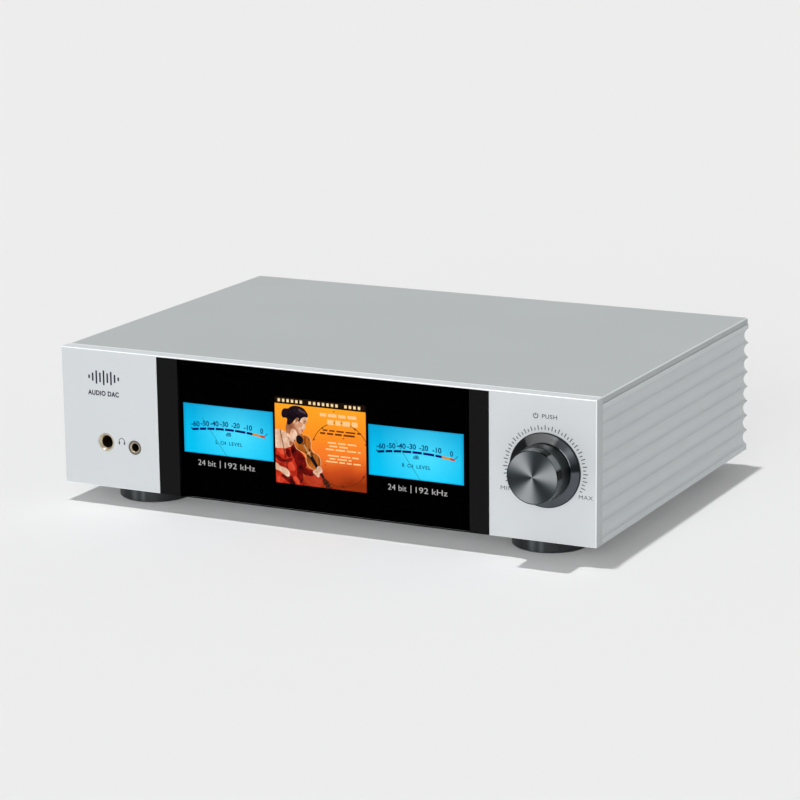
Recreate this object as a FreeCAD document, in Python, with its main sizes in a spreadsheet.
import FreeCAD, Part
import os
import re

import Sketcher

# Desktop DAC with headphone outputs, in millimetres.
# Frame: +X to the right seen from the front, +Y to the rear, +Z up. The origin is the centre of the
# bottom of the bounding box, so the feet stand on Z = 0.

# Driving dimensions. Each becomes one cell of the sheet, with its name as the alias.
DIMENSIONS = {
    # case
    "case_width": 310,
    "case_height": 75,
    "case_depth": 216,
    "panel_thick": 8,
    "cover_thick": 3.5,
    "cover_inset": 0.5,
    "cover_skin": 0.4,
    "base_thick": 3,
    "rear_thick": 3,
    "plate_thick": 2,
    "wall_thick": 6,
    "ledge_width": 8,
    "ledge_thick": 3,
    "boss_width": 7,
    "boss_height": 8,
    "low_boss": 18,
    "high_boss": 58,
    "boss_tap": 7,
    "back_screw_inset": 22,
    "back_screw_low": 6,
    "back_screw_high": 66,
    "tap_depth": 4.4,
    "joint_gap": 0.1,
    "edge_break": 0.35,
    "joint_break": 0.6,
    "past": 1,
    # scalloped outer face of a side panel
    "scallop_count": 8,
    "scallop_pitch": 8.3,
    "scallop_radius": 4.37,
    "scallop_depth": 2.3,
    "first_cusp": 5.85,
    # vent slots in the bottom plate
    "vent_count": 12,
    "vent_left": 66,
    "vent_pitch": 8,
    "vent_width": 3,
    "vent_length": 34,
    "vent_setback": 140,
    # feet
    "foot_height": 10,
    "foot_radius": 20,
    "foot_across": 234,
    "foot_setback": 31.5,
    "foot_break": 0.5,
    "foot_lift": 0.3,
    "pad_radius": 17,
    "pad_bore": 6,
    "pad_seat": 1.7,
    "foot_bore": 2.1,
    "foot_well": 4.5,
    "foot_web": 5,
    # screws
    "screw_radius": 1.45,
    "screw_hole": 1.5,
    "screw_length": 6,
    "head_radius": 2.75,
    "head_height": 1.65,
    "head_skirt": 0.6,
    "head_taper": 0.66,
    "head_room": 0.2,
    "head_pocket": 3.2,
    "hex_radius": 1.15,
    "hex_depth": 1,
    "foot_screw_radius": 2,
    "foot_screw_length": 8,
    "foot_head_radius": 3.8,
    "foot_head_height": 2.4,
    "foot_hex_radius": 1.6,
    "screw_inset": 4,
    "screw_setback": 30,
    "screw_tail": 21,
    # glass and display
    "window_shift": 0.5,
    "glass_width": 192.6,
    "glass_thick": 2,
    "glass_lip": 0.8,
    "gasket_thick": 0.5,
    "gasket_inset": 0.1,
    "active_width": 169.5,
    "active_height": 62,
    "screen_width": 176,
    "screen_height": 66,
    "screen_thick": 5.5,
    "screen_gap": 0.3,
    "display_board_width": 96,
    "display_board_height": 36,
    "display_board_low": 30,
    "display_standoff": 8,
    "driver_across": 12,
    "driver_size": 12,
    "driver_thick": 1.4,
    "part_rise": 19,
    "latch_tall": 4,
    "latch_thick": 3,
    "latch_margin": 3,
    "coil_across": 28,
    "coil_radius": 4,
    "coil_thick": 5,
    "cable_width": 30,
    "cable_thick": 0.4,
    "cable_lift": 1.5,
    "cable_bend": 6,
    "cable_setback": 8,
    "cable_slot_width": 40,
    "cable_slot_tall": 4,
    "cable_slot_rise": 22,
    # volume knob and its encoder
    "knob_across": 127.5,
    "knob_height": 37.05,
    "knob_stand": 15.7,
    "knob_radius": 14.2,
    "knob_band_radius": 13.95,
    "knob_face_radius": 13.45,
    "knob_band": 5,
    "knob_groove": 0.5,
    "knob_undercut": 0.35,
    "knob_break": 0.2,
    "knob_clear": 1,
    "knob_cavity_radius": 12,
    "knob_cavity_end": 7.6,
    "knob_boss_radius": 7.8,
    "knob_boss_start": 4.2,
    "knob_bore_end": 12.6,
    "ring_radius": 19.2,
    "ring_bore": 14.6,
    "ring_rim": 0.7,
    "ring_rise": 2.45,
    "ring_break": 0.2,
    "ring_land": 0.7,
    "ring_lip": 0.35,
    "shaft_radius": 3,
    "shaft_flat": 2,
    "shaft_end": 12,
    "shaft_tail": 16,
    "grub_stand": 6.4,
    "grub_radius": 1.5,
    "grub_length": 5.5,
    "grub_hex_radius": 0.85,
    "grub_hex_depth": 1.5,
    "running_gap": 0.06,
    "end_gap": 0.3,
    "nose_radius": 4.5,
    "nose_stand": 3,
    "nut_radius": 6.35,
    "nut_thick": 2.2,
    "encoder_size": 14,
    "encoder_depth": 7,
    "rotor_radius": 5.2,
    "rotor_thick": 2.6,
    "rotor_setback": 2.2,
    "switch_size": 12,
    "switch_depth": 5,
    "plunger_radius": 1.6,
    "plunger_length": 3.6,
    "plunger_gap": 0.1,
    "push_travel": 0.5,
    # headphone jacks
    "jack_a_across": 128.45,
    "jack_a_height": 24.8,
    "jack_a_bore": 3.3,
    "jack_a_ring": 4.8,
    "jack_a_flare": 4.2,
    "jack_a_flare_depth": 1.3,
    "jack_a_width": 17,
    "jack_a_length": 32,
    "jack_a_reach": 28,
    "jack_b_across": 110.65,
    "jack_b_height": 23.5,
    "jack_b_bore": 2.2,
    "jack_b_ring": 2.95,
    "jack_b_flare": 2.65,
    "jack_b_flare_depth": 0.7,
    "jack_b_nose": 3.8,
    "jack_b_width": 11,
    "jack_b_length": 22,
    "jack_b_reach": 19,
    "jack_break": 0.15,
    "hole_gap": 0.15,
    "headphone_standoff": 13,
    "headphone_board_width": 44,
    "headphone_board_depth": 50,
    "headphone_margin": 4,
    "headphone_front": 0.5,
    "headphone_row": 6,
    # boards
    "board_thick": 1.6,
    "board_standoff": 8,
    "standoff_radius": 3,
    "main_left": 142,
    "main_right": 50,
    "main_front": 104,
    "main_back": 210,
    "supply_left": 58,
    "supply_right": 140,
    "supply_front": 106,
    "supply_back": 184,
    "board_margin": 5,
    "main_screw_row": 176,
    "main_screw_column": 20,
    "post_tap": 7,
    "chip_thick": 1.6,
    "crimp_start": 1,
    "crimp_length": 1,
    "crimp_depth": 0.4,
    "streamer_across": 12,
    "streamer_setback": 136,
    "streamer_width": 60,
    "streamer_length": 48,
    "streamer_rise": 7,
    "socket_across": 26,
    "socket_width": 3,
    "socket_length": 40,
    "shield_width": 40,
    "shield_length": 36,
    "shield_height": 3,
    "sink_across": 78,
    "sink_setback": 140,
    "sink_width": 20,
    "sink_length": 56,
    "sink_base": 4,
    "fin_count": 5,
    "fin_pitch": 4.5,
    "fin_thick": 1.6,
    "fin_height": 26,
    # transformer
    "core_across": 99,
    "core_depth": 62,
    "core_radius": 35,
    "core_bore": 11,
    "core_height": 34,
    "core_round": 7,
    "core_shoulder": 2.1,
    "core_plate_radius": 22,
    "core_plate_thick": 1.5,
    "core_dish_depth": 3,
    "core_dish_gap": 1,
    "core_bolt_radius": 3,
    "bolt_gap": 0.2,
    "bolt_head_radius": 5.5,
    "bolt_head_height": 4,
    # mains inlet, fuse drawer and power switch
    "inlet_across": 119,
    "inlet_low": 14,
    "inlet_width": 30,
    "inlet_tall": 46,
    "inlet_flange": 2.5,
    "inlet_depth": 27,
    "inlet_lap": 1.7,
    "cavity_width": 24.4,
    "cavity_tall": 16.6,
    "cavity_height": 26.5,
    "cavity_depth": 17,
    "cavity_corner": 5,
    "blade_length": 15,
    "blade_tall": 4,
    "blade_thick": 2,
    "blade_across": 7,
    "blade_tail": 8,
    "drawer_width": 20,
    "drawer_tall": 10,
    "drawer_length": 26,
    "drawer_height": 49.5,
    "drawer_lip": 1.5,
    "drawer_gap": 0.35,
    "drawer_wall": 1.6,
    "drawer_lap": 1,
    "lip_gap": 0.1,
    "grip_depth": 0.6,
    "grip_tall": 3,
    "fuse_radius": 2.6,
    "fuse_length": 20,
    "fuse_cap": 4,
    "fuse_gap": 0.2,
    "fuse_step": 0.25,
    "switch_across": 82,
    "switch_height": 37.5,
    "switch_width": 15,
    "switch_tall": 21,
    "switch_flange": 2,
    "switch_body": 18,
    "switch_lap": 1.2,
    "tab_across": 4,
    "tab_thick": 0.8,
    "tab_length": 7,
    "tab_tall": 5,
    "rocker_width": 10.4,
    "rocker_radius": 8.3,
    "rocker_gap": 0.35,
    "rocker_pivot": 0.6,
    "rocker_crown": 2,
    "rocker_slope": 8,
    "rocker_tilt": 9,
    "rocker_pin": 1.2,
    "pin_hold": 0.3,
    "pin_gap": 0.1,
    # rear signal connectors
    "rear_stand": 10,
    "xlr_first": 97,
    "xlr_pitch": 32,
    "xlr_height": 38,
    "xlr_flange_width": 26,
    "xlr_flange_tall": 31,
    "xlr_flange": 2,
    "xlr_barrel": 11.8,
    "xlr_cup": 9.3,
    "xlr_cup_depth": 14,
    "xlr_depth": 20,
    "xlr_pin_radius": 1.2,
    "xlr_pin_circle": 5,
    "xlr_pin_length": 11.5,
    "xlr_screw_across": 9.5,
    "xlr_screw_rise": 12,
    "rca_across": 66,
    "rca_low": 26,
    "rca_high": 49,
    "coax_across": 46,
    "rca_shell": 4.15,
    "rca_bore": 3.4,
    "rca_contact": 1.6,
    "rca_hex": 5.6,
    "rca_hex_thick": 1.5,
    "rca_washer": 6.4,
    "rca_washer_thick": 2,
    "rca_core_stand": 8.5,
    "rca_contact_stop": 0.3,
    "rca_clear": 0.4,
    "rca_tail": 12,
    "optical_across": 28,
    "optical_size": 10,
    "optical_depth": 14,
    "optical_mouth": 6.6,
    "optical_mouth_depth": 8,
    "optical_stand": 1,
    "shutter_size": 6,
    "shutter_thick": 0.6,
    "shutter_setback": 0.9,
    "usb_b_across": 8,
    "usb_b_width": 12,
    "usb_b_tall": 11,
    "usb_b_mouth": 8.5,
    "usb_b_mouth_tall": 7.8,
    "usb_b_tongue": 5.6,
    "usb_b_tongue_tall": 3.2,
    "usb_depth": 17,
    "usb_mouth_depth": 9.5,
    "usb_tongue_setback": 1,
    "usb_a_across": 12,
    "usb_a_width": 14.5,
    "usb_a_tall": 15.6,
    "usb_a_mouth": 12.5,
    "usb_a_mouth_tall": 5.1,
    "usb_a_pitch": 7.6,
    "usb_a_tongue": 11,
    "usb_a_tongue_tall": 1.9,
    "usb_a_tongue_rise": 1,
    "lan_across": 34,
    "lan_width": 16,
    "lan_tall": 13.5,
    "lan_depth": 21,
    "lan_mouth": 11.8,
    "lan_mouth_tall": 7.4,
    "lan_mouth_depth": 13,
    "lan_key": 6,
    "lan_key_tall": 2,
    "lan_rise": 0.6,
    "lan_comb": 8,
    "lan_comb_length": 6,
    "lan_comb_tall": 1.2,
    "port_stand": 0.6,
    "port_gap": 0.2,
}

# Places that follow from the driving dimensions.
DERIVED = {
    "half_width": "case_width / 2",
    "front_y": "(knob_stand - case_depth - rear_stand) / 2",
    "panel_y": "front_y + panel_thick",
    "inner_y": "front_y + panel_thick + plate_thick",
    "back_y": "front_y + case_depth",
    "rear_y": "front_y + case_depth - rear_thick",
    "floor_z": "foot_height",
    "top_z": "foot_height + case_height",
    "seam_z": "foot_height + case_height - cover_thick",
    "base_z": "foot_height + base_thick",
    "ledge_z": "foot_height + case_height - cover_thick - ledge_thick",
    "inside_x": "case_width / 2 - wall_thick",
    "board_z": "foot_height + base_thick + board_standoff",
    "board_top": "foot_height + base_thick + board_standoff + board_thick",
    "screw_x": "case_width / 2 - wall_thick - screw_inset",
    "middle_z": "foot_height + case_height / 2",
    "knob_z": "foot_height + knob_height",
    "jack_a_z": "foot_height + jack_a_height",
    "jack_b_z": "foot_height + jack_b_height",
    "display_y": "front_y + panel_thick + plate_thick + display_standoff",
    "jacks_x": "(jack_a_across + jack_b_across) / 2",
    "core_y": "front_y + core_depth",
    "inlet_z": "foot_height + inlet_low + inlet_tall / 2",
    "cavity_z": "foot_height + cavity_height",
    "drawer_z": "foot_height + drawer_height",
    "switch_z": "foot_height + switch_height",
    "xlr_z": "foot_height + xlr_height",
    "rocker_y": "front_y + case_depth + switch_flange - rocker_pivot",
}

# Parts on the main board and the supply board. Depths are measured back from the front face.
# Chips and oscillator cans: x, depth, width, length, height.
CHANNEL_DEPTHS = (126, 152)
MAIN_CHIPS = [(-112, depth, 10, 10, 1.4) for depth in CHANNEL_DEPTHS]
MAIN_CHIPS += [(x, depth, 5, 4, 1.5) for depth in CHANNEL_DEPTHS for x in (-98, -90, -82)]
MAIN_CHIPS += [(x, 158, 14, 9, 5) for x in (-62, -42)]
MAIN_CHIPS += [(-48, 138, 14, 14, 1.6), (-20, 160, 8, 8, 1.2), (-20, 176, 8, 8, 1.2)]
# Capacitors: x, depth, radius, height.
FILTER_CANS = [(x, depth, 4, 12) for x in (-132, -122, -112, -102) for depth in (114, 166)]
FILTER_CANS += [(x, 114, 5, 16) for x in (-80, -66)]
SUPPLY_CANS = [(x, depth, 9, 30) for x in (104, 126) for depth in (122, 144)]
SUPPLY_CANS += [(x, 168, 5, 18) for x in (98, 112, 126)]
# Chips on the headphone board: x, depth, size.
HEADPHONE_CHIPS = [(-108, 44, 8), (-121, 45, 6), (-101.5, 32.5, 5)]
XLR_PIN_ANGLES = (40, 140, 270)

FRONT = (1, 0, 0, 90)  # turns a piece built along +Z to point at the viewer, along -Y
REAR = (1, 0, 0, -90)  # turns it to point along +Y
DOWN = (1, 0, 0, 180)  # turns it to point along -Z

doc = FreeCAD.newDocument("DesktopDac")
sheet = doc.addObject("Spreadsheet::Sheet", "Sizes")
NODES = []


def fill_sheet():
    """Write one row per dimension: its name, and its value in a cell that has the name as alias."""
    for row, (name, size) in enumerate(DIMENSIONS.items(), start=1):
        sheet.set(f"A{row}", name)
        sheet.set(f"B{row}", str(size))
        sheet.setAlias(f"B{row}", name)
    doc.recompute()


def formula(text):
    """Turn a formula in dimension names into an expression on the sheet's cells."""

    def cell(match):
        word = match.group()
        if word in DERIVED:
            return f"({formula(DERIVED[word])})"
        return f"Sizes.{word}" if word in DIMENSIONS else word

    return re.sub(r"[a-z][a-z_]*", cell, str(text))


def number(text):
    """The present value of a formula, in millimetres or degrees."""
    return float(sheet.evalExpression(formula(text)))


# ---------------------------------------------------------------- Part primitives and booleans


def bind(item, **properties):
    for name, text in properties.items():
        item.setExpression(name, formula(text))
    return item


def place(item, x="0", y="0", z="0", turn=None):
    """Give an object its placement: a fixed turn, and a position bound to the sheet."""
    if turn:
        *axis, angle = turn
        item.Placement.Rotation = FreeCAD.Rotation(FreeCAD.Vector(*axis), angle)
    for letter, text in zip("xyz", (x, y, z)):
        item.setExpression(f".Placement.Base.{letter}", formula(text))
    return item


def block(x_low, x_high, y_low, y_high, z_low, z_high):
    """A box between two corners."""
    item = doc.addObject("Part::Box", "Block")
    bind(item, Length=f"({x_high}) - ({x_low})")
    bind(item, Width=f"({y_high}) - ({y_low})")
    bind(item, Height=f"({z_high}) - ({z_low})")
    return place(item, x_low, y_low, z_low)


def around(middle, size):
    """The low and high end of a stretch, by its middle."""
    return f"({middle}) - ({size}) / 2", f"({middle}) + ({size}) / 2"


def centred(x, width, y_low, y_high, z, tall):
    """A box centred on x and z."""
    return block(*around(x, width), y_low, y_high, *around(z, tall))


def rod_y(radius, x, y_low, y_high, z):
    """A cylinder along Y."""
    item = doc.addObject("Part::Cylinder", "Rod")
    bind(item, Radius=radius, Height=f"({y_high}) - ({y_low})")
    return place(item, x, y_low, z, REAR)


def drill_y(radius, x, y_low, y_high, z):
    """A cutting cylinder along Y that runs past both ends of its stretch."""
    return rod_y(radius, x, f"{y_low} - past", f"{y_high} + past", z)


def rod_z(radius, x, y, z_low, z_high):
    """A cylinder along Z."""
    item = doc.addObject("Part::Cylinder", "Rod")
    bind(item, Radius=radius, Height=f"({z_high}) - ({z_low})")
    return place(item, x, y, z_low)


def drill_z(radius, x, y, z_low, z_high):
    """A cutting cylinder along Z that runs past both ends of its stretch."""
    return rod_z(radius, x, y, f"{z_low} - past", f"{z_high} + past")


def rod_x(radius, x_low, x_high, y, z):
    """A cylinder along X."""
    item = doc.addObject("Part::Cylinder", "Rod")
    bind(item, Radius=radius, Height=f"({x_high}) - ({x_low})")
    return place(item, x_low, y, z, (0, 1, 0, 90))


def hexagon(radius, x, y, z, height, turn=None):
    """A six-sided prism, of the given circumradius."""
    item = doc.addObject("Part::Prism", "Hexagon")
    item.Polygon = 6
    bind(item, Circumradius=radius, Height=height)
    return place(item, x, y, z, turn)


def joined(*solids):
    item = doc.addObject("Part::MultiFuse", "Joined")
    item.Shapes = list(solids)
    return item


def grouped(*solids):
    item = doc.addObject("Part::Compound", "Grouped")
    item.Links = list(solids)
    return item


def shared(first, second):
    item = doc.addObject("Part::MultiCommon", "Shared")
    item.Shapes = [first, second]
    return item


def cut(base, *tools):
    item = doc.addObject("Part::Cut", "Cut")
    item.Base = base
    item.Tool = tools[0] if len(tools) == 1 else joined(*tools)
    return item


def copy_of(master, x, y, z, turn=None):
    item = doc.addObject("App::Link", "Copy")
    item.LinkedObject = master
    return place(item, x, y, z, turn)


def node(item, name):
    """Name a finished sub-part and list it for export."""
    item.Label = name
    NODES.append(item)
    return item


# ---------------------------------------------------------------- PartDesign


def rectangle(x_low, x_high, z_low, z_high):
    return [(x_low, z_low), (x_high, z_low), (x_high, z_high), (x_low, z_high)]


def centred_rectangle(x, width, z, tall):
    return rectangle(*around(x, width), *around(z, tall))


def new_body():
    return doc.addObject("PartDesign::Body", "Body")


def bound_distance(sketch, kind, geometry, point, text):
    """Hold a point at a bound distance from the sketch's origin, or a circle at a bound radius."""
    if kind == "Radius":
        index = sketch.addConstraint(Sketcher.Constraint(kind, geometry, number(text)))
    else:
        index = sketch.addConstraint(Sketcher.Constraint(kind, geometry, point, number(text)))
    sketch.setExpression(f"Constraints[{index}]", formula(text))


def draw_polygon(sketch, corners):
    first = sketch.GeometryCount
    points = [FreeCAD.Vector(number(u), number(v), 0) for u, v in corners]
    for start, end in zip(points, points[1:] + points[:1]):
        sketch.addGeometry(Part.LineSegment(start, end))
    for i in range(len(points)):
        after = first + (i + 1) % len(points)
        sketch.addConstraint(Sketcher.Constraint("Coincident", first + i, 2, after, 1))
    for i, (u, v) in enumerate(corners):
        bound_distance(sketch, "DistanceX", first + i, 1, u)
        bound_distance(sketch, "DistanceY", first + i, 1, v)


def draw_circle(sketch, u, v, radius):
    middle = FreeCAD.Vector(number(u), number(v), 0)
    index = sketch.addGeometry(Part.Circle(middle, FreeCAD.Vector(0, 0, 1), number(radius)))
    bound_distance(sketch, "DistanceX", index, 3, u)
    bound_distance(sketch, "DistanceY", index, 3, v)
    bound_distance(sketch, "Radius", index, None, radius)


def sketch_on(body, role, shapes, offset=None):
    """A sketch on one of the body's origin planes, of corner lists and circles (u, v, radius)."""
    sketch = body.newObject("Sketcher::SketchObject", "Sketch")
    plane = next(feature for feature in body.Origin.OriginFeatures if feature.Role == role)
    sketch.AttachmentSupport = [(plane, "")]
    sketch.MapMode = "FlatFace"
    if offset:
        sketch.setExpression(".AttachmentOffset.Base.z", formula(offset))
    for shape in shapes:
        if isinstance(shape, list):
            draw_polygon(sketch, shape)
        else:
            draw_circle(sketch, *shape)
    return sketch


def pad(body, sketch, length, backwards=False):
    feature = body.newObject("PartDesign::Pad", "Pad")
    feature.Profile = sketch
    feature.Reversed = backwards
    bind(feature, Length=length)
    doc.recompute()
    return feature


def pocket(body, sketch, depth, backwards=False):
    """Cut a sketch into the body, and make sure that it did cut."""
    before = body.Shape.Volume
    feature = body.newObject("PartDesign::Pocket", "Pocket")
    feature.Profile = sketch
    feature.Reversed = backwards
    bind(feature, Length=depth)
    doc.recompute()
    if not body.Shape.Volume < before - 1e-6:
        raise RuntimeError(f"{feature.Name} cuts nothing")
    return feature


def revolve(body, profile):
    """Turn an outline of (radius, height) corners about the body's own Z axis."""
    sketch = sketch_on(body, "XZ_Plane", [profile])
    feature = body.newObject("PartDesign::Revolution", "Revolution")
    feature.Profile = sketch
    feature.ReferenceAxis = (sketch, ["V_Axis"])
    feature.Angle = 360
    doc.recompute()
    return feature


def straight_edges(shape, wanted):
    """The names of the straight edges whose bounding box passes a test."""
    names = []
    for index, edge in enumerate(shape.Edges, start=1):
        if edge.Curve.TypeId == "Part::GeomLine" and wanted(edge.BoundBox):
            names.append(f"Edge{index}")
    return names


def chamfer(body, wanted, size):
    base = body.Tip
    feature = body.newObject("PartDesign::Chamfer", "Chamfer")
    feature.Base = (base, straight_edges(base.Shape, wanted))
    bind(feature, Size=size)
    doc.recompute()
    return feature


def level(low, high, value):
    """Whether a stretch of bounding box lies at one value."""
    return abs(low - value) < 1e-4 and abs(high - value) < 1e-4


# ---------------------------------------------------------------- case


def back_screws():
    """Centres (x, z) of the screws that hold the front panel to the inner front plate."""
    heights = ("floor_z + back_screw_low", "floor_z + back_screw_high")
    return [(f"{side} * (half_width - back_screw_inset)", z) for side in (-1, 1) for z in heights]


def boss_screws():
    """Centres (x, z) of the bosses of the side panels."""
    return [(f"{side} * screw_x", f"floor_z + {z}") for side in (-1, 1) for z in ("low_boss", "high_boss")]


def make_front_panel():
    body = new_body()
    place(body, y="front_y")
    outline = rectangle("-half_width", "half_width", "floor_z", "top_z")
    pad(body, sketch_on(body, "XZ_Plane", [outline]), "panel_thick", True)
    seat = rectangle(*around("window_shift", "glass_width"), "floor_z - past", "top_z - glass_lip")
    pocket(body, sketch_on(body, "XZ_Plane", [seat]), "glass_thick + gasket_thick")
    screen_hole = centred_rectangle(
        "window_shift", "screen_width + 2 * screen_gap", "middle_z", "screen_height + 2 * screen_gap"
    )
    openings = [
        screen_hole,
        ("knob_across", "knob_z", "nose_radius + hole_gap"),
        ("-jack_a_across", "jack_a_z", "jack_a_ring + hole_gap"),
        ("-jack_b_across", "jack_b_z", "jack_b_nose + hole_gap"),
    ]
    pocket(body, sketch_on(body, "XZ_Plane", openings), "panel_thick + past")
    break_front_edges(body)
    taps = [(x, z, "screw_hole") for x, z in back_screws()]
    pocket(body, sketch_on(body, "XZ_Plane", taps, "-panel_thick"), "tap_depth", True)
    wells = [(x, z, "head_pocket") for x, z in boss_screws()]
    pocket(body, sketch_on(body, "XZ_Plane", wells, "-panel_thick"), "head_height + head_room", True)
    node(body, "front_panel")


def break_front_edges(body):
    """Small bevels round the front face and the window, and along the joints at the back."""
    sides = [number("-half_width"), number("half_width")]
    window = [number(end) for end in around("window_shift", "glass_width")]
    heights = [number("floor_z"), number("top_z"), number("top_z - glass_lip")]

    def is_upright(box, places):
        return any(level(box.XMin, box.XMax, x) for x in places)

    def on_face(box):
        across = any(level(box.ZMin, box.ZMax, z) for z in heights)
        return level(box.YMin, box.YMax, 0) and (across or is_upright(box, sides + window))

    def on_back(box):
        return level(box.YMin, box.YMax, number("panel_thick"))

    def on_top_joint(box):
        return on_back(box) and level(box.ZMin, box.ZMax, number("top_z"))

    def on_side_joint(box):
        return on_back(box) and is_upright(box, sides)

    chamfer(body, on_face, "edge_break")
    chamfer(body, on_top_joint, "joint_break")
    chamfer(body, on_side_joint, "edge_break")


def make_glass_and_display():
    left = "window_shift - glass_width / 2 + joint_gap"
    right = "window_shift + glass_width / 2 - joint_gap"
    top = "top_z - glass_lip - joint_gap"
    glass_back = "front_y + glass_thick"
    node(block(left, right, "front_y", glass_back, "floor_z", top), "front_glass")

    seat_y = f"{glass_back} + gasket_thick"
    frame = block(left, right, glass_back, seat_y, "floor_z + gasket_inset", top)
    opening = centred("window_shift", "active_width", "front_y", "panel_y", "middle_z", "active_height")
    node(cut(frame, opening), "display_gasket")

    screen_back = f"{seat_y} + screen_thick"
    screen = centred("window_shift", "screen_width", seat_y, screen_back, "middle_z", "screen_height")
    node(screen, "display_panel")
    make_display_board()


def make_display_board():
    """Board on four spacers, with a driver chip, a coil and the latch that holds the flat cable."""
    low = "floor_z + display_board_low"
    high = f"{low} + display_board_height"
    face_y = "display_y + board_thick"
    card = block(*around("0", "display_board_width"), "display_y", face_y, low, high)
    part_z, latch_z = f"{low} + part_rise", f"{low} + latch_tall"
    driver_ends = (face_y, f"{face_y} + driver_thick")
    driver = centred("-driver_across", "driver_size", *driver_ends, part_z, "driver_size")
    latch_ends = (face_y, f"{face_y} + latch_thick")
    latch = centred("0", "cable_width + latch_margin", *latch_ends, latch_z, "latch_tall")
    coil = rod_y("coil_radius", "coil_across", face_y, f"{face_y} + coil_thick", part_z)
    drills = [drill_y("screw_hole", x, "display_y", face_y, z) for x, z in display_screws()]
    node(cut(joined(card, driver, latch, coil), *drills), "display_board")
    make_display_cable(f"{face_y} + latch_thick / 2", f"{low} + latch_tall / 2")


def make_display_cable(start_y, start_z):
    """Flat cable: down from the display board, back along the bottom plate and up to the main board."""
    run_z = "base_z + cable_lift"
    rise_y = "front_y + main_front - cable_setback"
    outer = [
        (start_y, start_z),
        (start_y, f"{run_z} + cable_bend"),
        (f"{start_y} + cable_bend", run_z),
        (rise_y, run_z),
        (f"{rise_y} + cable_bend", f"{run_z} + cable_bend"),
        (f"{rise_y} + cable_bend", "board_top"),
    ]
    inner = [
        (f"{rise_y} + cable_bend - cable_thick", "board_top"),
        (f"{rise_y} + cable_bend - cable_thick", f"{run_z} + cable_bend + cable_thick / 2"),
        (f"{rise_y} - cable_thick / 2", f"{run_z} + cable_thick"),
        (f"{start_y} + cable_bend + cable_thick / 2", f"{run_z} + cable_thick"),
        (f"{start_y} + cable_thick", f"{run_z} + cable_bend + cable_thick / 2"),
        (f"{start_y} + cable_thick", start_z),
    ]
    body = new_body()
    place(body, x="-cable_width / 2")
    pad(body, sketch_on(body, "YZ_Plane", [outer + inner]), "cable_width")
    node(body, "display_cable")


def make_inner_plate():
    body = new_body()
    place(body, y="panel_y")
    outline = rectangle("joint_gap - inside_x", "inside_x - joint_gap", "floor_z", "seam_z - joint_gap")
    pad(body, sketch_on(body, "XZ_Plane", [outline]), "plate_thick", True)
    holes = [
        ("knob_across", "knob_z", "nose_radius + joint_gap"),
        ("-jack_a_across", "jack_a_z", "jack_a_ring + joint_gap"),
        ("-jack_b_across", "jack_b_z", "jack_b_nose + joint_gap"),
        centred_rectangle("0", "cable_slot_width", "floor_z + cable_slot_rise", "cable_slot_tall"),
    ]
    holes += [(x, z, "screw_hole") for x, z in back_screws() + boss_screws() + display_screws()]
    pocket(body, sketch_on(body, "XZ_Plane", holes), "plate_thick + past")
    node(body, "inner_front_plate")


def display_screws():
    """Centres (x, z) of the display board's spacers."""
    heights = ("floor_z + display_board_low + board_margin",)
    heights += ("floor_z + display_board_low + display_board_height - board_margin",)
    return [(f"{side} * (display_board_width / 2 - board_margin)", z) for side in (-1, 1) for z in heights]


def cover_screws():
    """Centres (x, y) of the screws through the side panels' ledges."""
    rows = ("front_y + screw_setback", "(front_y + back_y) / 2", "back_y - screw_tail")
    return [(f"{side} * screw_x", y) for side in (-1, 1) for y in rows]


def make_top_cover():
    body = new_body()
    place(body, z="seam_z")
    plate = rectangle(*around("0", "case_width - 2 * cover_inset"), "panel_y", "back_y")
    pad(body, sketch_on(body, "XY_Plane", [plate]), "cover_thick")

    def around_top(box):
        return level(box.ZMin, box.ZMax, number("cover_thick"))

    chamfer(body, around_top, "joint_break")
    taps = [(x, y, "screw_hole") for x, y in cover_screws()]
    pocket(body, sketch_on(body, "XY_Plane", taps), "cover_thick - cover_skin", True)
    node(body, "top_cover")


def foot_places():
    front = "front_y + foot_setback"
    rear = "back_y - foot_setback"
    return {
        "foot_front_left": ("-foot_across / 2", front),
        "foot_front_right": ("foot_across / 2", front),
        "foot_rear_left": ("-foot_across / 2", rear),
        "foot_rear_right": ("foot_across / 2", rear),
    }


def make_bottom_plate():
    """Bottom plate between the side panels, with screw holes and a row of vent slots."""
    body = new_body()
    place(body, z="floor_z")
    outline = rectangle("joint_gap - inside_x", "inside_x - joint_gap", "inner_y", "rear_y")
    pad(body, sketch_on(body, "XY_Plane", [outline]), "base_thick")
    holes = [(x, y, "screw_hole") for x, y in cover_screws()]
    holes += [(x, y, "foot_screw_radius") for x, y in foot_places().values()]
    holes.append(("core_across", "core_y", "core_bolt_radius"))
    pocket(body, sketch_on(body, "XY_Plane", holes), "base_thick + past", True)
    slots = []
    for column in range(int(number("vent_count"))):
        middle = f"{column} * vent_pitch - vent_left"
        slots.append(centred_rectangle(middle, "vent_width", "front_y + vent_setback", "vent_length"))
    pocket(body, sketch_on(body, "XY_Plane", slots), "base_thick + past", True)
    node(body, "bottom_plate")


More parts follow.
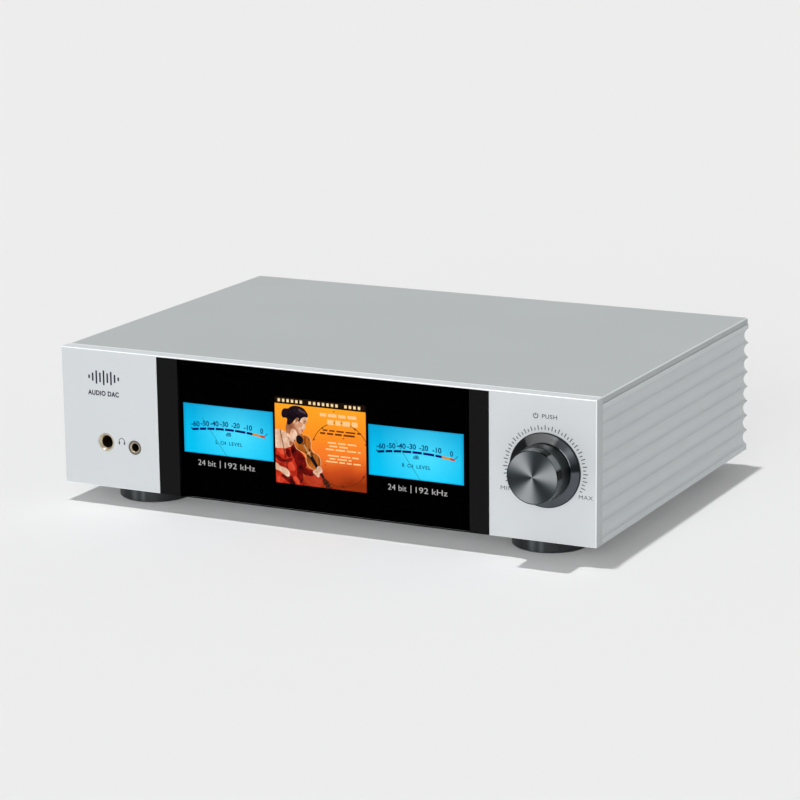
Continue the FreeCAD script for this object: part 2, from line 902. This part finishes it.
def make_side_panel(name, side):
    """Extruded side panel. Its outer face has round scallops that run from front to back."""

    def span(low, high):
        """A stretch of distances from the middle, on this panel's side."""
        return (low, high) if side > 0 else (f"-({high})", f"-({low})")

    solids = [block(*span("inside_x", "half_width"), "panel_y", "back_y", "floor_z", "seam_z")]
    ledge = span("inside_x - ledge_width", "inside_x")
    solids.append(block(*ledge, "inner_y", "rear_y", "ledge_z", "seam_z"))
    solids.append(block(*ledge, "inner_y", "rear_y", "base_z", "base_z + ledge_thick"))
    cutters = []
    for height in ("low_boss", "high_boss"):
        boss_x, boss_z = f"{side} * screw_x", f"floor_z + {height}"
        boss = span("inside_x - boss_width", "inside_x")
        solids.append(block(*boss, "inner_y", "rear_y", *around(boss_z, "boss_height")))
        cutters.append(rod_y("screw_hole", boss_x, "inner_y - past", "inner_y + boss_tap", boss_z))
        cutters.append(rod_y("screw_hole", boss_x, "rear_y - boss_tap", "rear_y + past", boss_z))
    for scallop in range(int(number("scallop_count"))):
        middle_x = f"{side} * (half_width - scallop_depth + scallop_radius)"
        middle_z = f"top_z - first_cusp - scallop_pitch * ({scallop} + 1 / 2)"
        cutters.append(drill_y("scallop_radius", middle_x, "panel_y", "back_y", middle_z))
    for x, y in cover_screws():
        if (number(x) > 0) == (side > 0):
            cutters.append(drill_z("screw_hole", x, y, "ledge_z", "seam_z"))
            cutters.append(drill_z("screw_hole", x, y, "base_z", "base_z + ledge_thick"))
    node(cut(joined(*solids), *cutters), name)


def make_rear_panel():
    body = new_body()
    place(body, y="rear_y")
    outline = rectangle("joint_gap - inside_x", "inside_x - joint_gap", "floor_z", "seam_z - joint_gap")
    pad(body, sketch_on(body, "XZ_Plane", [outline]), "rear_thick", True)
    holes = [(x, z, "screw_hole") for x, z in boss_screws() + xlr_screws()]
    holes += [(x, "xlr_z", "xlr_barrel + port_gap") for x in xlr_places()]
    holes += [(x, z, "rca_bore + rca_clear") for x, z in rca_places()]
    slots = [
        ("inlet_across", "inlet_width - 2 * inlet_lap", "inlet_z", "inlet_tall - 2 * inlet_lap"),
        ("switch_across", "switch_width - 2 * switch_lap", "switch_z", "switch_tall - 2 * switch_lap"),
    ]
    slots += [(x, width, f"board_top + {tall} / 2", tall) for x, width, tall in port_places()]
    for x, width, z, tall in slots:
        holes.append(centred_rectangle(x, f"{width} + 2 * port_gap", z, f"{tall} + 2 * port_gap"))
    pocket(body, sketch_on(body, "XZ_Plane", holes), "rear_thick + past")
    node(body, "rear_panel")


def make_feet():
    """Turned feet with a recess for the pad, a well for the screw head and a web that the screw clamps."""
    profile = [
        ("foot_bore", "floor_z"),
        ("foot_bore", "foot_web"),
        ("foot_well", "foot_web"),
        ("foot_well", "foot_lift + pad_seat"),
        ("pad_radius + joint_gap", "foot_lift + pad_seat"),
        ("pad_radius + joint_gap", "foot_lift"),
        ("foot_radius - foot_break", "foot_lift"),
        ("foot_radius", "foot_lift + foot_break"),
        ("foot_radius", "floor_z - foot_break"),
        ("foot_radius - foot_break", "floor_z"),
    ]
    pads = []
    screws = []
    master = make_screw(
        "foot_screw_radius", "foot_screw_length", "foot_head_radius", "foot_head_height", "foot_hex_radius"
    )
    for name, (x, y) in foot_places().items():
        body = new_body()
        place(body, x, y)
        revolve(body, profile)
        node(body, name)
        rubber = rod_z("pad_radius", x, y, "0", "foot_lift + pad_seat")
        pads.append(cut(rubber, drill_z("pad_bore", x, y, "0", "foot_lift + pad_seat")))
        screws.append(copy_of(master, x, y, "foot_web", DOWN))
    node(grouped(*pads), "foot_pads")
    node(grouped(*screws), "foot_screws")


# ---------------------------------------------------------------- screws


def make_screw(radius, length, head_radius, head_height, socket):
    """Hex-socket screw along Z: the head above Z = 0, the shank below."""
    shank = rod_z(radius, "0", "0", f"-({length})", "0")
    skirt_top = f"({head_height}) * head_skirt"
    skirt = rod_z(head_radius, "0", "0", "0", skirt_top)
    crown = doc.addObject("Part::Cone", "Crown")
    bind(crown, Radius1=head_radius, Radius2=f"({head_radius}) * head_taper")
    bind(crown, Height=f"({head_height}) * (1 - head_skirt)")
    place(crown, z=skirt_top)
    recess = hexagon(socket, "0", "0", f"({head_height}) - hex_depth", "hex_depth + past")
    return cut(joined(shank, skirt, crown), recess)


def make_case_screws():
    """Button-head screws: the outside ones on the rear and bottom, and the hidden ones inside."""
    master = make_screw("screw_radius", "screw_length", "head_radius", "head_height", "hex_radius")
    outside = [copy_of(master, x, "back_y", z, REAR) for x, z in boss_screws()]
    outside += [copy_of(master, x, "back_y + xlr_flange", z, REAR) for x, z in xlr_screws()]
    outside += [copy_of(master, x, y, "floor_z", DOWN) for x, y in cover_screws()]
    node(grouped(*outside), "panel_screws")
    inside = [copy_of(master, x, y, "ledge_z", DOWN) for x, y in cover_screws()]
    inside += [copy_of(master, x, "inner_y", z, REAR) for x, z in back_screws()]
    inside += [copy_of(master, x, "panel_y", z, FRONT) for x, z in boss_screws()]
    inside += [copy_of(master, x, "display_y + board_thick", z, REAR) for x, z in display_screws()]
    inside += [copy_of(master, x, y, "board_top") for x, y in main_screws() + supply_screws()]
    top = "base_z + headphone_standoff + board_thick"
    inside += [copy_of(master, x, y, top) for x, y in headphone_screws()]
    node(grouped(*inside), "inner_screws")


# ---------------------------------------------------------------- volume control


def make_volume_knob():
    """Turned knob: a face, a polished band, a fine groove, the grip, and a hollow back with a boss."""
    body = new_body()
    place(body, "knob_across", "front_y", "knob_z", FRONT)
    band_z = "knob_stand - knob_band"
    profile = [
        ("shaft_radius", "knob_boss_start"),
        ("knob_boss_radius", "knob_boss_start"),
        ("knob_boss_radius", "knob_cavity_end"),
        ("knob_cavity_radius", "knob_cavity_end"),
        ("knob_cavity_radius", "knob_clear"),
        ("knob_radius - knob_break", "knob_clear"),
        ("knob_radius", "knob_clear + knob_break"),
        ("knob_radius", f"{band_z} - knob_groove"),
        ("knob_radius - knob_undercut", f"{band_z} - knob_groove / 2"),
        ("knob_band_radius", band_z),
        ("knob_band_radius", "knob_stand - knob_band_radius + knob_face_radius"),
        ("knob_face_radius", "knob_stand"),
        ("0", "knob_stand"),
        ("0", "knob_bore_end"),
        ("shaft_radius", "knob_bore_end"),
    ]
    revolve(body, profile)
    grub_hole = ("0", "grub_stand", "grub_radius")
    pocket(body, sketch_on(body, "XZ_Plane", [grub_hole]), "knob_radius + past", True)
    node(body, "volume_knob")

    grub_y = "front_y - grub_stand"
    tip = "knob_z - shaft_flat"
    socket_z = f"{tip} - grub_length - past"
    grub = rod_z("grub_radius", "knob_across", grub_y, f"{tip} - grub_length", tip)
    recess = hexagon("grub_hex_radius", "knob_across", grub_y, socket_z, "grub_hex_depth + past")
    node(cut(grub, recess), "knob_set_screw")


def make_trim_ring():
    """Shallow dished ring that sits on the panel round the knob."""
    body = new_body()
    place(body, "knob_across", "front_y", "knob_z", FRONT)
    profile = [
        ("ring_bore", "0"),
        ("ring_radius", "0"),
        ("ring_radius", "ring_rim - ring_break"),
        ("ring_radius - ring_break", "ring_rim"),
        ("ring_radius - ring_land", "ring_rim"),
        ("ring_bore + ring_lip", "ring_rise"),
        ("ring_bore", "ring_rise"),
    ]
    revolve(body, profile)
    node(body, "knob_trim_ring")


def make_encoder():
    """Push-and-turn encoder behind the panel."""
    shaft_low, shaft_high = "front_y - shaft_end", "front_y + shaft_tail"
    shaft = rod_y("shaft_radius", "knob_across", shaft_low, shaft_high, "knob_z")
    kept = ("knob_z - shaft_flat", "knob_z + shaft_radius")
    shaft_half = block(*around("knob_across", "2 * shaft_radius"), shaft_low, shaft_high, *kept)
    node(shared(shaft, shaft_half), "encoder_shaft")

    rotor_low = "inner_y + rotor_setback"
    rotor_high = f"{rotor_low} + rotor_thick"
    bore = "shaft_radius + running_gap"
    through = (f"{rotor_low} - past", f"{rotor_high} + past")
    kept = ("knob_z - shaft_flat - running_gap", "knob_z + rotor_radius")
    round_hole = rod_y(bore, "knob_across", *through, "knob_z")
    hole_half = block(*around("knob_across", "2 * rotor_radius"), *through, *kept)
    disc = rod_y("rotor_radius", "knob_across", rotor_low, rotor_high, "knob_z")
    node(cut(disc, shared(round_hole, hole_half)), "encoder_rotor")

    case_back = "inner_y + encoder_depth"
    nose_y = "front_y - nose_stand"
    case = centred("knob_across", "encoder_size", "inner_y", case_back, "knob_z", "encoder_size")
    nose = rod_y("nose_radius", "knob_across", nose_y, "inner_y", "knob_z")
    shaft_hole = drill_y(bore, "knob_across", nose_y, case_back, "knob_z")
    chamber_ends = (f"{rotor_low} - end_gap", f"{rotor_high} + end_gap")
    chamber = rod_y("rotor_radius + end_gap", "knob_across", *chamber_ends, "knob_z")
    node(cut(joined(case, nose), shaft_hole, chamber), "encoder_housing")

    nut = hexagon("nut_radius", "knob_across", "front_y", "knob_z", "nut_thick", FRONT)
    nut_hole = drill_y("nose_radius", "knob_across", "front_y - nut_thick", "front_y", "knob_z")
    node(cut(nut, nut_hole), "encoder_nut")
    make_push_switch(case_back)


def make_push_switch(case_back):
    """Switch behind the encoder, with the plunger that the end of the shaft pushes."""
    switch_back = f"{case_back} + switch_depth"
    switch = centred("knob_across", "switch_size", case_back, switch_back, "knob_z", "switch_size")
    plunger_low = "front_y + shaft_tail + plunger_gap"
    plunger_high = f"{plunger_low} + plunger_length"
    slot_end = f"{plunger_high} + push_travel + end_gap"
    slot = rod_y("plunger_radius + running_gap", "knob_across", f"{case_back} - past", slot_end, "knob_z")
    node(cut(switch, slot), "push_switch_body")
    plunger = rod_y("plunger_radius", "knob_across", plunger_low, plunger_high, "knob_z")
    node(plunger, "push_switch_plunger")


# ---------------------------------------------------------------- headphone outputs


def make_jack_ring(name, x, z, bore, radius, flare, flare_depth):
    """Plated ring through the panel, flush with its face, with a flared mouth."""
    body = new_body()
    place(body, x, "front_y", z, FRONT)
    back = "-(panel_thick + plate_thick)"
    profile = [
        (bore, back),
        (radius, back),
        (radius, "-jack_break"),
        (f"{radius} - jack_break", "0"),
        (flare, "0"),
        (bore, f"-{flare_depth}"),
    ]
    revolve(body, profile)
    node(body, name)


def headphone_screws():
    """Centres (x, y) of the headphone board's standoffs."""
    left, right = [f"{side} * (headphone_board_width / 2 - headphone_margin) - jacks_x" for side in (-1, 1)]
    front, back = "inner_y + headphone_row", "inner_y + headphone_board_depth - board_margin"
    return [(left, back), (right, front), (right, back)]


def make_headphone_outputs():
    a_x, b_x = "-jack_a_across", "-jack_b_across"
    make_jack_ring(
        "jack_ring_6_35", a_x, "jack_a_z", "jack_a_bore", "jack_a_ring", "jack_a_flare", "jack_a_flare_depth"
    )
    make_jack_ring(
        "jack_ring_4_4", b_x, "jack_b_z", "jack_b_bore", "jack_b_ring", "jack_b_flare", "jack_b_flare_depth"
    )
    board_low = "base_z + headphone_standoff"
    board_high = f"{board_low} + board_thick"

    heights = (board_high, f"2 * jack_a_z - ({board_high})")
    case = block(*around(a_x, "jack_a_width"), "inner_y", "inner_y + jack_a_length", *heights)
    hole = rod_y("jack_a_bore", a_x, "inner_y - past", "inner_y + jack_a_reach", "jack_a_z")
    node(cut(case, hole), "headphone_jack_6_35")

    heights = (board_high, f"2 * jack_b_z - ({board_high})")
    case = block(*around(b_x, "jack_b_width"), "inner_y", "inner_y + jack_b_length", *heights)
    nose = rod_y("jack_b_nose", b_x, "front_y", "inner_y", "jack_b_z")
    seat = rod_y("jack_b_ring", b_x, "front_y - past", "inner_y", "jack_b_z")
    hole = rod_y("jack_b_bore", b_x, "inner_y - past", "inner_y + jack_b_reach", "jack_b_z")
    node(cut(joined(case, nose), seat, hole), "headphone_jack_4_4")

    board_ends = ("inner_y + headphone_front", "inner_y + headphone_board_depth")
    card = block(*around("-jacks_x", "headphone_board_width"), *board_ends, board_low, board_high)
    chips = []
    for x, depth, size in HEADPHONE_CHIPS:
        ends = around(f"front_y + {depth}", size)
        chips.append(block(*around(x, size), *ends, board_high, f"{board_high} + chip_thick"))
    drills = [drill_z("screw_hole", x, y, board_low, board_high) for x, y in headphone_screws()]
    node(cut(joined(card, *chips), *drills), "headphone_board")


# ---------------------------------------------------------------- boards and power supply


def corner_screws(left, right, front, back):
    return [
        (x, y)
        for x in (f"{left} + board_margin", f"{right} - board_margin")
        for y in (f"front_y + {front} + board_margin", f"front_y + {back} - board_margin")
    ]


def main_screws():
    left_front, _, right_front, _ = corner_screws("-main_left", "main_right", "main_front", "main_back")
    row = "front_y + main_screw_row"
    return [left_front, right_front, ("-main_left + board_margin", row), ("main_screw_column", row)]


def supply_screws():
    return corner_screws("supply_left", "supply_right", "supply_front", "supply_back")


def drilled_board(left, right, front, back, screws):
    card = block(left, right, f"front_y + {front}", f"front_y + {back}", "board_z", "board_top")
    return cut(card, *[drill_z("screw_hole", x, y, "board_z", "board_top") for x, y in screws])


def on_board(x, depth, width, length, height, rise="0"):
    """A box on the main or the supply board, by its centre, raised above the board if need be."""
    low = f"board_top + {rise}"
    return block(*around(x, width), *around(f"front_y + {depth}", length), low, f"{low} + {height}")


def can_on_board(x, depth, radius, height):
    """An upright capacitor: a can with a narrower crimp near its foot."""
    middle_y = f"front_y + {depth}"
    crimp_low, crimp_high = "board_top + crimp_start", "board_top + crimp_start + crimp_length"
    foot = rod_z(radius, str(x), middle_y, "board_top", crimp_low)
    crimp = rod_z(f"{radius} - crimp_depth", str(x), middle_y, crimp_low, crimp_high)
    can = rod_z(radius, str(x), middle_y, crimp_high, f"board_top + {height}")
    return joined(foot, crimp, can)


def make_boards():
    main = drilled_board("-main_left", "main_right", "main_front", "main_back", main_screws())
    node(main, "main_board")
    node(grouped(*[on_board(*chip) for chip in MAIN_CHIPS]), "board_chips")
    node(grouped(*[can_on_board(*can) for can in FILTER_CANS]), "filter_capacitors")

    middle = ("streamer_across", "streamer_setback")
    sockets = []
    for side in (-1, 1):
        socket_x = f"streamer_across + {side} * socket_across"
        socket_size = ("socket_width", "socket_length", "streamer_rise")
        sockets.append(on_board(socket_x, "streamer_setback", *socket_size))
    carrier = on_board(*middle, "streamer_width", "streamer_length", "board_thick", "streamer_rise")
    shield_rise = "streamer_rise + board_thick"
    shield = on_board(*middle, "shield_width", "shield_length", "shield_height", shield_rise)
    node(joined(*sockets, carrier, shield), "streamer_module")

    supply = drilled_board("supply_left", "supply_right", "supply_front", "supply_back", supply_screws())
    node(supply, "power_supply_board")
    node(grouped(*[can_on_board(*can) for can in SUPPLY_CANS]), "supply_capacitors")

    sink = [on_board("sink_across", "sink_setback", "sink_width", "sink_length", "sink_base")]
    fins = int(number("fin_count"))
    for fin in range(fins):
        fin_x = f"sink_across + fin_pitch * ({fin} - (fin_count - 1) / 2)"
        sink.append(on_board(fin_x, "sink_setback", "fin_thick", "sink_length", "fin_height"))
    node(joined(*sink), "regulator_heatsink")


def make_standoffs():
    """Tapped posts under the boards, and spacers between the display board and the inner front plate."""
    posts = []
    places = [(x, y, "board_z") for x, y in main_screws() + supply_screws()]
    places += [(x, y, "base_z + headphone_standoff") for x, y in headphone_screws()]
    for x, y, top in places:
        post = rod_z("standoff_radius", x, y, "base_z", top)
        posts.append(cut(post, rod_z("screw_hole", x, y, f"{top} - post_tap", f"{top} + past")))
    for x, z in display_screws():
        spacer = rod_y("standoff_radius", x, "inner_y", "display_y", z)
        posts.append(cut(spacer, drill_y("screw_hole", x, "inner_y", "display_y", z)))
    node(grouped(*posts), "board_standoffs")


def make_transformer():
    """Toroidal transformer, held down by a dished plate and one bolt through its middle."""
    body = new_body()
    place(body, "core_across", "core_y", "base_z")
    profile = [
        ("core_bore + core_round / 2", "0"),
        ("core_radius - core_round", "0"),
        ("core_radius - core_shoulder", "core_shoulder"),
        ("core_radius", "core_round"),
        ("core_radius", "core_height - core_round"),
        ("core_radius - core_shoulder", "core_height - core_shoulder"),
        ("core_radius - core_round", "core_height"),
        ("core_bore + core_round / 2", "core_height"),
        ("core_bore", "core_height - core_round / 2"),
        ("core_bore", "core_round / 2"),
    ]
    revolve(body, profile)
    node(body, "toroidal_transformer")

    top = "base_z + core_height"
    plate_top = f"{top} + core_plate_thick"
    dish_low = f"{top} - core_dish_depth"
    dish_floor = f"{dish_low} + core_plate_thick"
    dish_radius = "core_bore - core_dish_gap"
    disc = rod_z("core_plate_radius", "core_across", "core_y", top, plate_top)
    dish = rod_z(dish_radius, "core_across", "core_y", dish_low, plate_top)
    hole = drill_z("core_bolt_radius + bolt_gap", "core_across", "core_y", dish_low, plate_top)
    hollow_radius = f"{dish_radius} - core_plate_thick"
    hollow = rod_z(hollow_radius, "core_across", "core_y", dish_floor, f"{plate_top} + past")
    node(cut(joined(disc, dish), hole, hollow), "transformer_plate")

    shank = rod_z("core_bolt_radius", "core_across", "core_y", "floor_z", dish_floor)
    head = hexagon("bolt_head_radius", "core_across", "core_y", dish_floor, "bolt_head_height")
    node(joined(shank, head), "transformer_bolt")


# ---------------------------------------------------------------- mains inlet and power switch


def make_mains_inlet():
    """Three-pin inlet with the slot for a fuse drawer above it."""
    left, right = around("inlet_across", "cavity_width")
    low, high = around("cavity_z", "cavity_tall")
    cavity = [
        (left, low),
        (right, low),
        (right, f"{high} - cavity_corner"),
        (f"{right} - cavity_corner", high),
        (f"{left} + cavity_corner", high),
        (left, f"{high} - cavity_corner"),
    ]
    body = new_body()
    place(body, y="back_y")
    core_width, core_tall = "inlet_width - 2 * inlet_lap", "inlet_tall - 2 * inlet_lap"
    core = centred_rectangle("inlet_across", core_width, "inlet_z", core_tall)
    pad(body, sketch_on(body, "XZ_Plane", [core]), "inlet_depth + rear_thick")
    flange = centred_rectangle("inlet_across", "inlet_width", "inlet_z", "inlet_tall")
    pad(body, sketch_on(body, "XZ_Plane", [flange]), "inlet_flange", True)
    pocket(body, sketch_on(body, "XZ_Plane", [cavity], "-inlet_flange"), "cavity_depth", True)
    slot_width, slot_tall = "drawer_width + 2 * drawer_gap", "drawer_tall + 2 * drawer_gap"
    slot = centred_rectangle("inlet_across", slot_width, "drawer_z", slot_tall)
    pocket(body, sketch_on(body, "XZ_Plane", [slot], "-inlet_flange"), "drawer_length + drawer_gap", True)
    node(body, "mains_inlet")

    blades = []
    floor_y = "back_y + inlet_flange - cavity_depth"
    tail_y = "back_y - rear_thick - inlet_depth"
    for column, row in ((0, 1), (1, -1), (-1, -1)):
        x, z = f"inlet_across + {column} * blade_across", f"cavity_z + {row} * blade_tall"
        blades.append(centred(x, "blade_thick", floor_y, f"{floor_y} + blade_length", z, "blade_tall"))
        blades.append(centred(x, "blade_thick / 2", f"{tail_y} - blade_tail", tail_y, z, "blade_tall"))
    node(grouped(*blades), "inlet_pins")


def make_fuse_drawer():
    """Drawer with a lip in front and a trough for the fuse."""
    x, z = "inlet_across", "drawer_z"
    face_y = "back_y + inlet_flange"
    lip_y = f"{face_y} + drawer_lip"
    back = f"{face_y} - drawer_length + drawer_wall"
    tray = centred(x, "drawer_width", f"{face_y} - drawer_length", face_y, z, "drawer_tall")
    neck = centred(x, "drawer_width - 2 * drawer_lap", face_y, lip_y, z, "drawer_tall - 2 * drawer_lap")
    lip_low = f"{face_y} + lip_gap"
    lip = centred(x, "drawer_width + 2 * drawer_lap", lip_low, lip_y, z, "drawer_tall + 2 * drawer_lap")
    trough = block(
        *around(x, "2 * (fuse_radius + fuse_gap)"), back, f"{back} + fuse_length + 2 * fuse_gap",
        f"{z} - fuse_radius - fuse_gap", f"{z} + drawer_tall",
    )
    grip_ends = (f"{lip_y} - grip_depth", f"{lip_y} + past")
    grip = centred(x, "drawer_width / 2", *grip_ends, f"{z} + drawer_tall / 2", "grip_tall")
    node(cut(joined(tray, neck, lip), trough, grip), "fuse_drawer")

    start = f"{back} + fuse_gap"
    end = f"{start} + fuse_length"
    tube = rod_y("fuse_radius - fuse_step", x, start, end, z)
    near = rod_y("fuse_radius", x, start, f"{start} + fuse_cap", z)
    far = rod_y("fuse_radius", x, f"{end} - fuse_cap", end, z)
    node(joined(tube, near, far), "fuse")


def make_power_switch():
    """Rocker with a shallow V face that tilts on two short pins in its frame."""
    x, z = "switch_across", "switch_z"
    face_y = "back_y + switch_flange"
    core_back = "back_y - switch_body"
    flange = centred(x, "switch_width", "back_y", face_y, z, "switch_tall")
    core_size = ("switch_width - 2 * switch_lap", "switch_tall - 2 * switch_lap")
    core = centred(x, core_size[0], core_back, "back_y", z, core_size[1])
    floor_y = "rocker_y - rocker_radius - rocker_gap"
    room_tall = "2 * (rocker_radius + rocker_gap)"
    room = centred(x, "rocker_width + 2 * rocker_gap", floor_y, f"{face_y} + past", z, room_tall)
    pin_span = "rocker_width + 2 * (rocker_gap + pin_hold)"
    pin_seat = rod_x("rocker_pin + running_gap", *around(x, f"{pin_span} + 2 * pin_gap"), "rocker_y", z)
    tabs = []
    for side in (-1, 1):
        tab_x = f"{x} + {side} * tab_across"
        tabs.append(centred(tab_x, "tab_thick", f"{core_back} - tab_length", core_back, z, "tab_tall"))
    node(cut(joined(flange, core, *tabs), room, pin_seat), "power_switch_frame")

    end_y = "rocker_crown + rocker_radius * tan(rocker_slope)"
    profile = [
        ("rocker_crown", "0"),
        (end_y, "rocker_radius"),
        ("-rocker_crown", "rocker_radius"),
        ("-rocker_radius", "rocker_radius / 3"),
        ("-rocker_radius", "-rocker_radius / 3"),
        ("-rocker_crown", "-rocker_radius"),
        (end_y, "-rocker_radius"),
    ]
    body = new_body()
    place(body, x="-rocker_width / 2")
    pad(body, sketch_on(body, "YZ_Plane", [profile]), "rocker_width")
    sweep = rod_x("rocker_radius", *around("0", "rocker_width"), "0", "0")
    pin = rod_x("rocker_pin", *around("0", pin_span), "0", "0")
    master = joined(shared(body, sweep), pin)
    tilt = (1, 0, 0, number("rocker_tilt"))
    node(grouped(copy_of(master, x, "rocker_y", z, tilt)), "power_rocker")


# ---------------------------------------------------------------- rear signal connectors


def xlr_places():
    return ["-xlr_first", "-(xlr_first + xlr_pitch)"]


def xlr_screws_at(x):
    """Centres (x, z) of the two screws in the XLR flange at x."""
    return [(f"{x} + {side} * xlr_screw_across", f"xlr_z - {side} * xlr_screw_rise") for side in (-1, 1)]


def xlr_screws():
    return [screw for x in xlr_places() for screw in xlr_screws_at(x)]


def make_xlr_outputs():
    shells = []
    pins = []
    face_y = "back_y + xlr_flange"
    floor_y = f"{face_y} - xlr_cup_depth"
    for x in xlr_places():
        flange = centred(x, "xlr_flange_width", "back_y", face_y, "xlr_z", "xlr_flange_tall")
        barrel = rod_y("xlr_barrel", x, "rear_y - xlr_depth", "back_y", "xlr_z")
        cup = rod_y("xlr_cup", x, floor_y, f"{face_y} + past", "xlr_z")
        drills = [drill_y("screw_hole", a, "back_y", face_y, b) for a, b in xlr_screws_at(x)]
        shells.append(cut(joined(flange, barrel), cup, *drills))
        for angle in XLR_PIN_ANGLES:
            pin_x = f"{x} + xlr_pin_circle * cos({angle})"
            pin_z = f"xlr_z + xlr_pin_circle * sin({angle})"
            pins.append(rod_y("xlr_pin_radius", pin_x, floor_y, f"{floor_y} + xlr_pin_length", pin_z))
    node(grouped(*shells), "xlr_outputs")
    node(grouped(*pins), "xlr_pins")


def rca_places():
    """Centres (x, z) of the two analogue outputs and the coaxial input."""
    low, high = "floor_z + rca_low", "floor_z + rca_high"
    return [("-rca_across", low), ("-rca_across", high), ("-coax_across", "floor_z + rca_high")]


def make_rca_jacks():
    shells = []
    cores = []
    foot_y = "back_y + rca_washer_thick"
    tip_y = "back_y + rear_stand"
    for x, z in rca_places():
        tube = rod_y("rca_shell", x, foot_y, tip_y, z)
        base = hexagon("rca_hex", x, foot_y, z, "rca_hex_thick", REAR)
        shells.append(cut(joined(tube, base), drill_y("rca_bore", x, foot_y, tip_y, z)))
        washer = rod_y("rca_washer", x, "back_y", foot_y, z)
        core = rod_y("rca_bore - running_gap", x, "back_y - rca_tail", "back_y + rca_core_stand", z)
        contact = rod_y("rca_contact", x, "back_y + rca_contact_stop", f"{tip_y} + past", z)
        cores.append(cut(joined(washer, core), contact))
    node(grouped(*shells), "rca_jacks")
    node(grouped(*cores), "rca_insulators")


def port_places():
    """Centre, width and height of each connector that stands on the main board."""
    return [
        ("-optical_across", "optical_size", "optical_size"),
        ("-usb_b_across", "usb_b_width", "usb_b_tall"),
        ("usb_a_across", "usb_a_width", "usb_a_tall"),
        ("lan_across", "lan_width", "lan_tall"),
    ]


def port_shell(place_index, depth, stand):
    x, width, tall = port_places()[place_index]
    face_y = f"back_y + {stand}"
    return centred(x, width, f"{face_y} - {depth}", face_y, f"board_top + {tall} / 2", tall)


def make_optical_input():
    """Optical socket with a sprung flap just inside its mouth."""
    x, z = "-optical_across", "board_top + optical_size / 2"
    face_y = "back_y + optical_stand"
    mouth_ends = (f"{face_y} - optical_mouth_depth", f"{face_y} + past")
    mouth = centred(x, "optical_mouth", *mouth_ends, z, "optical_mouth")
    node(cut(port_shell(0, "optical_depth", "optical_stand"), mouth), "optical_socket")
    flap_y = f"{face_y} - shutter_setback"
    flap = centred(x, "shutter_size", f"{flap_y} - shutter_thick", flap_y, z, "shutter_size")
    node(flap, "optical_shutter")


def make_usb_sockets():
    face_y = "back_y + port_stand"
    floor_y = f"{face_y} - usb_mouth_depth"
    mouth_ends = (floor_y, f"{face_y} + past")
    tongue_ends = (floor_y, f"{face_y} - usb_tongue_setback")
    x, z = "-usb_b_across", "board_top + usb_b_tall / 2"
    mouth = centred(x, "usb_b_mouth", *mouth_ends, z, "usb_b_mouth_tall")
    tongue = centred(x, "usb_b_tongue", *tongue_ends, z, "usb_b_tongue_tall")
    node(joined(cut(port_shell(1, "usb_depth", "port_stand"), mouth), tongue), "usb_b_socket")

    x = "usb_a_across"
    mouths = []
    tongues = []
    for side in (-1, 1):
        z = f"board_top + usb_a_tall / 2 + {side} * usb_a_pitch / 2"
        mouths.append(centred(x, "usb_a_mouth", *mouth_ends, z, "usb_a_mouth_tall"))
        tongue_z = f"{z} + usb_a_tongue_rise"
        tongues.append(centred(x, "usb_a_tongue", *tongue_ends, tongue_z, "usb_a_tongue_tall"))
    node(joined(cut(port_shell(2, "usb_depth", "port_stand"), *mouths), *tongues), "usb_a_sockets")


def make_network_socket():
    x, z = "lan_across", "board_top + lan_tall / 2 + lan_rise"
    face_y = "back_y + port_stand"
    floor_y = f"{face_y} - lan_mouth_depth"
    mouth_low, mouth_high = around(z, "lan_mouth_tall")
    mouth_ends = (floor_y, f"{face_y} + past")
    mouth = centred(x, "lan_mouth", *mouth_ends, z, "lan_mouth_tall")
    key = block(*around(x, "lan_key"), *mouth_ends, f"{mouth_low} - lan_key_tall", z)
    comb_ends = (floor_y, f"{floor_y} + lan_comb_length")
    comb = block(*around(x, "lan_comb"), *comb_ends, f"{mouth_high} - lan_comb_tall", mouth_high)
    node(joined(cut(port_shell(3, "lan_depth", "port_stand"), mouth, key), comb), "lan_socket")


# ---------------------------------------------------------------- document and export


def build():
    fill_sheet()
    make_front_panel()
    make_glass_and_display()
    make_inner_plate()
    make_top_cover()
    make_bottom_plate()
    make_side_panel("left_side_panel", -1)
    make_side_panel("right_side_panel", 1)
    make_rear_panel()
    make_feet()
    make_case_screws()
    make_trim_ring()
    make_volume_knob()
    make_encoder()
    make_headphone_outputs()
    make_boards()
    make_standoffs()
    make_transformer()
    make_mains_inlet()
    make_fuse_drawer()
    make_power_switch()
    make_xlr_outputs()
    make_rca_jacks()
    make_optical_input()
    make_usb_sockets()
    make_network_socket()
    doc.recompute()


def check():
    """Stop if any object failed, or if a sub-part has no valid shape."""
    failed = [item.Name for item in doc.Objects if {"Invalid", "Error"} & set(item.State)]
    if failed:
        raise RuntimeError(f"failed objects: {failed}")
    labels = [item.Label for item in NODES]
    if len(set(labels)) != len(labels):
        raise RuntimeError("two sub-parts share a label")
    for item in NODES:
        if item.Shape.isNull() or not item.Shape.isValid() or not item.Shape.Solids:
            raise RuntimeError(f"{item.Label} has no valid shape")


def export():
    os.makedirs("parts", exist_ok=True)
    for item in NODES:
        item.Shape.exportStep(os.path.join("parts", f"{item.Label}.step"))
    print(f"{len(NODES)} sub-parts written")


build()
check()
export()
